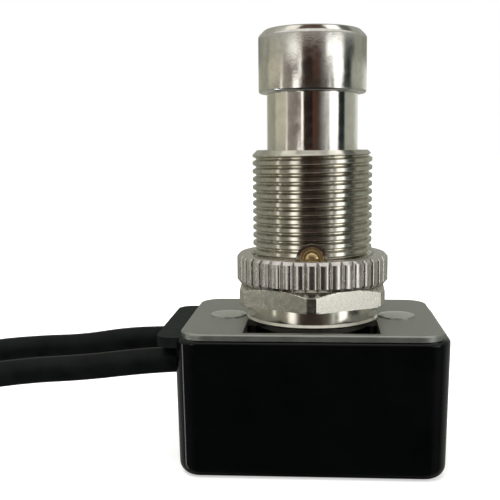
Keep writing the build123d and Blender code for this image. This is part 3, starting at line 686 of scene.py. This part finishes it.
# The studio is a room of upright light and dark panels, which the metal shows as bands. Each
# of its eleven levels gives the height where it begins, as the vertical part of the direction,
# the stretch over which it blends in, and its light by azimuth in degrees from the front,
# positive to the right. Camera rays see plain white instead.
STUDIO_LEVELS = [
    (-1, 0, [
        (-180, (0.03, 0.032, 0.032)), (-140, (0.03, 0.032, 0.032)), (-115, (0.26, 0.27, 0.25)),
        (-80, (0.24, 0.25, 0.23)), (-50, (0.04, 0.042, 0.042)), (50, (0.04, 0.042, 0.042)),
        (80, (0.24, 0.25, 0.23)), (115, (0.26, 0.27, 0.25)), (140, (0.03, 0.032, 0.032)),
        (180, (0.03, 0.032, 0.032)),
    ]),
    (-0.72, 0.08, [
        (-180, (0.42, 0.43, 0.39)), (-100, (0.34, 0.35, 0.33)), (-91, (0.1, 0.11, 0.12)),
        (-88, (0.12, 0.13, 0.14)), (-85, (8.0, 8.4, 9.0)), (-82, (0.08, 0.085, 0.09)),
        (-70, (0.12, 0.125, 0.12)), (-50, (0.1, 0.1, 0.1)), (-32, (0.03, 0.03, 0.03)),
        (-22, (0.02, 0.022, 0.024)), (24, (0.02, 0.022, 0.022)), (34, (0.03, 0.03, 0.03)),
        (52, (0.12, 0.12, 0.12)), (72, (0.12, 0.125, 0.12)), (86, (0.05, 0.055, 0.055)),
        (89, (0.3, 0.31, 0.32)), (92, (0.1, 0.11, 0.11)), (102, (0.34, 0.35, 0.33)),
        (180, (0.42, 0.43, 0.39)),
    ]),
    (-0.245, 0.04, [
        (-180, (0.34, 0.35, 0.29)), (-100, (0.36, 0.36, 0.3)), (-76, (0.34, 0.33, 0.28)),
        (-50, (0.27, 0.26, 0.21)), (-43, (0.42, 0.41, 0.36)), (-36, (0.9, 0.88, 0.8)),
        (-30, (0.5, 0.48, 0.43)), (-24, (0.18, 0.16, 0.15)), (-19, (0.08, 0.065, 0.06)),
        (14, (0.07, 0.055, 0.05)), (25, (0.12, 0.11, 0.1)), (35, (0.28, 0.28, 0.26)),
        (42, (0.7, 0.7, 0.67)), (48, (2.6, 2.6, 2.56)), (77, (2.6, 2.6, 2.56)),
        (84, (0.3, 0.31, 0.28)), (94, (0.34, 0.35, 0.29)), (180, (0.36, 0.37, 0.31)),
    ]),
    (-0.19, 0.012, [
        (-180, (0.34, 0.35, 0.29)), (-100, (0.36, 0.36, 0.3)), (-75, (0.32, 0.31, 0.26)),
        (-71, (0.34, 0.33, 0.28)), (-68, (2.4, 2.35, 2.2)), (-65, (0.34, 0.33, 0.28)),
        (-50, (0.3, 0.28, 0.23)), (-43, (0.36, 0.34, 0.3)), (-38, (2.1, 2.07, 2.0)),
        (-30, (2.1, 2.07, 2.0)), (-25, (0.26, 0.23, 0.2)), (-20, (0.07, 0.05, 0.042)),
        (-8, (0.05, 0.035, 0.028)), (14, (0.06, 0.045, 0.038)), (28, (0.16, 0.15, 0.13)),
        (34, (0.3, 0.29, 0.27)), (37, (1.3, 1.3, 1.26)), (41, (0.3, 0.3, 0.28)),
        (46, (0.35, 0.35, 0.33)), (49, (2.3, 2.3, 2.26)), (62, (2.3, 2.3, 2.26)),
        (65, (0.1, 0.11, 0.1)), (84, (0.06, 0.075, 0.07)), (94, (0.34, 0.35, 0.29)),
        (180, (0.36, 0.37, 0.31)),
    ]),
    (-0.02, 0.02, [
        (-180, (0.7, 0.7, 0.62)), (-150, (0.42, 0.42, 0.34)), (-120, (0.38, 0.38, 0.3)),
        (-108, (0.4, 0.39, 0.31)), (-103, (0.62, 0.6, 0.48)), (-70, (0.66, 0.63, 0.51)),
        (-66, (0.9, 0.88, 0.78)), (-62, (0.33, 0.3, 0.27)), (-40, (0.24, 0.2, 0.185)),
        (-29, (0.32, 0.28, 0.26)), (-26, (1.9, 1.85, 1.75)), (-23, (1.7, 1.65, 1.55)),
        (-21, (0.03, 0.02, 0.016)), (0, (0.016, 0.01, 0.009)), (2, (0.1, 0.045, 0.03)),
        (14, (0.09, 0.045, 0.032)), (18, (0.1, 0.09, 0.08)), (28, (0.34, 0.34, 0.32)),
        (42, (0.7, 0.7, 0.68)), (46, (1.9, 1.9, 1.88)), (67, (1.9, 1.9, 1.88)),
        (70, (0.02, 0.03, 0.03)), (86, (0.012, 0.02, 0.02)), (92, (0.44, 0.46, 0.4)),
        (125, (0.5, 0.52, 0.45)), (150, (0.86, 0.88, 0.8)), (180, (0.8, 0.82, 0.74)),
    ]),
    (0.07, 0.025, [
        (-180, (0.24, 0.245, 0.205)), (-150, (0.26, 0.265, 0.22)), (-118, (0.4, 0.4, 0.34)),
        (-106, (0.32, 0.32, 0.26)), (-98, (0.46, 0.45, 0.37)), (-66, (0.5, 0.49, 0.42)),
        (-58, (0.62, 0.6, 0.54)), (-50, (1.1, 1.09, 1.02)), (-36, (1.7, 1.69, 1.62)),
        (-27, (1.1, 1.07, 1.0)), (-19, (0.16, 0.12, 0.1)), (-10, (0.06, 0.03, 0.021)),
        (12, (0.065, 0.034, 0.025)), (19, (0.16, 0.14, 0.125)), (27, (0.42, 0.41, 0.39)),
        (33, (2.2, 2.2, 2.18)), (62, (2.2, 2.2, 2.18)), (68, (0.7, 0.71, 0.7)),
        (74, (0.08, 0.09, 0.09)), (92, (0.05, 0.06, 0.06)), (104, (0.34, 0.35, 0.29)),
        (132, (0.3, 0.31, 0.25)), (180, (0.24, 0.25, 0.2)),
    ]),
    (0.14, 0.04, [
        (-180, (0.4, 0.4, 0.35)), (-90, (0.5, 0.5, 0.46)), (-40, (0.6, 0.59, 0.55)),
        (-15, (0.4, 0.38, 0.35)), (15, (0.4, 0.38, 0.35)), (45, (0.68, 0.68, 0.65)),
        (90, (0.5, 0.5, 0.47)), (180, (0.4, 0.41, 0.37)),
    ]),
    (0.4, 0.2, [
        (-180, (0.38, 0.38, 0.32)), (-110, (0.45, 0.45, 0.4)), (-90, (1.0, 1.0, 0.97)),
        (90, (1.0, 1.0, 0.97)), (110, (0.45, 0.46, 0.42)), (180, (0.38, 0.39, 0.34)),
    ]),
    (0.66, 0.05, [
        (-180, (0.38, 0.38, 0.32)), (-153, (0.38, 0.38, 0.32)), (-146, (0.6, 0.6, 0.54)),
        (-110, (0.6, 0.6, 0.54)), (-90, (1.0, 1.0, 0.97)), (90, (1.0, 1.0, 0.97)),
        (110, (0.14, 0.15, 0.14)), (146, (0.14, 0.15, 0.14)), (153, (0.38, 0.38, 0.32)),
        (180, (0.38, 0.38, 0.32)),
    ]),
    (0.83, 0.04, [
        (-180, (0.36, 0.36, 0.3)), (-153, (0.36, 0.36, 0.3)), (-146, (1.4, 1.38, 1.3)),
        (-110, (1.2, 1.18, 1.1)), (-90, (1.0, 1.0, 0.97)), (90, (1.0, 1.0, 0.97)),
        (110, (1.8, 1.8, 1.76)), (146, (1.8, 1.8, 1.76)), (153, (0.36, 0.36, 0.3)),
        (180, (0.36, 0.36, 0.3)),
    ]),
    (0.95, 0.015, [
        (-180, (0.1, 0.058, 0.045)), (-110, (0.12, 0.08, 0.065)), (-90, (1.0, 1.0, 0.97)),
        (90, (1.0, 1.0, 0.97)), (110, (0.12, 0.08, 0.065)), (180, (0.1, 0.058, 0.045)),
    ]),
]
world = bpy.data.worlds.new("studio")
bpy.context.scene.world = world
world.use_nodes = True
tree = world.node_tree
tree.nodes.clear()
output = tree.nodes.new("ShaderNodeOutputWorld")
way = tree.nodes.new("ShaderNodeTexCoord")
parts = tree.nodes.new("ShaderNodeSeparateXYZ")
tree.links.new(way.outputs["Generated"], parts.inputs[0])
toward = tree.nodes.new("ShaderNodeMath")
toward.operation = "MULTIPLY"
toward.inputs[1].default_value = -1
tree.links.new(parts.outputs["Y"], toward.inputs[0])
azimuth = tree.nodes.new("ShaderNodeMath")
azimuth.operation = "ARCTAN2"
tree.links.new(parts.outputs["X"], azimuth.inputs[0])
tree.links.new(toward.outputs[0], azimuth.inputs[1])
round_the_room = tree.nodes.new("ShaderNodeMapRange")
round_the_room.inputs["From Min"].default_value = -math.pi
round_the_room.inputs["From Max"].default_value = math.pi
tree.links.new(azimuth.outputs[0], round_the_room.inputs["Value"])
room = None
for begins, blend, stops in STUDIO_LEVELS:
    bands = tree.nodes.new("ShaderNodeValToRGB")
    ramp = bands.color_ramp
    ramp.elements.remove(ramp.elements[1])
    ramp.elements[0].position = 0
    ramp.elements[0].color = (*stops[0][1], 1)
    for degrees, colour in stops[1:]:
        stop = ramp.elements.new((degrees + 180) / 360)
        stop.color = (*colour, 1)
    tree.links.new(round_the_room.outputs["Result"], bands.inputs["Fac"])
    if room is None:
        room = bands.outputs["Color"]
        continue
    climb = tree.nodes.new("ShaderNodeMapRange")
    climb.interpolation_type = "SMOOTHSTEP"
    climb.inputs["From Min"].default_value = begins
    climb.inputs["From Max"].default_value = begins + blend
    tree.links.new(parts.outputs["Z"], climb.inputs["Value"])
    level = tree.nodes.new("ShaderNodeMix")
    level.data_type = "RGBA"
    tree.links.new(climb.outputs["Result"], level.inputs["Factor"])
    tree.links.new(room, level.inputs["A"])
    tree.links.new(bands.outputs["Color"], level.inputs["B"])
    room = level.outputs["Result"]
studio_light = tree.nodes.new("ShaderNodeBackground")
tree.links.new(room, studio_light.inputs["Color"])
white = tree.nodes.new("ShaderNodeBackground")
white.inputs["Color"].default_value = (1, 1, 1, 1)
rays = tree.nodes.new("ShaderNodeLightPath")
choose = tree.nodes.new("ShaderNodeMixShader")
tree.links.new(rays.outputs["Is Camera Ray"], choose.inputs["Fac"])
tree.links.new(studio_light.outputs[0], choose.inputs[1])
tree.links.new(white.outputs[0], choose.inputs[2])
tree.links.new(choose.outputs[0], output.inputs["Surface"])

# Two soft area lamps, one above and one in front on the right, light the case and the leads
# and give the switch its soft shadow on the table.


def add_lamp(name, place, aim, size, power):
    """Square area lamp, unseen in reflections, at a place in metres that faces its aim."""
    lamp = bpy.data.lights.new(name, "AREA")
    lamp.size = size
    lamp.energy = power
    piece = bpy.data.objects.new(name, lamp)
    ahead = np.array(aim) - np.array(place)
    ahead = ahead / np.linalg.norm(ahead)
    side = np.cross(ahead, [0, 0, 1])
    side = side / np.linalg.norm(side)
    over = np.cross(side, ahead)
    stand = Matrix((side, over, -ahead)).transposed().to_4x4()
    piece.matrix_world = Matrix.Translation(place) @ stand
    piece.visible_glossy = False
    bpy.context.scene.collection.objects.link(piece)


add_lamp("top_lamp", (-0.15, -0.1, 0.6), (0, 0, 0.01), size=0.5, power=3.0)
add_lamp("front_lamp", (0.35, -0.45, 0.3), (0, 0, 0.02), size=0.3, power=1.2)
bpy.context.scene.view_settings.view_transform = "Standard"
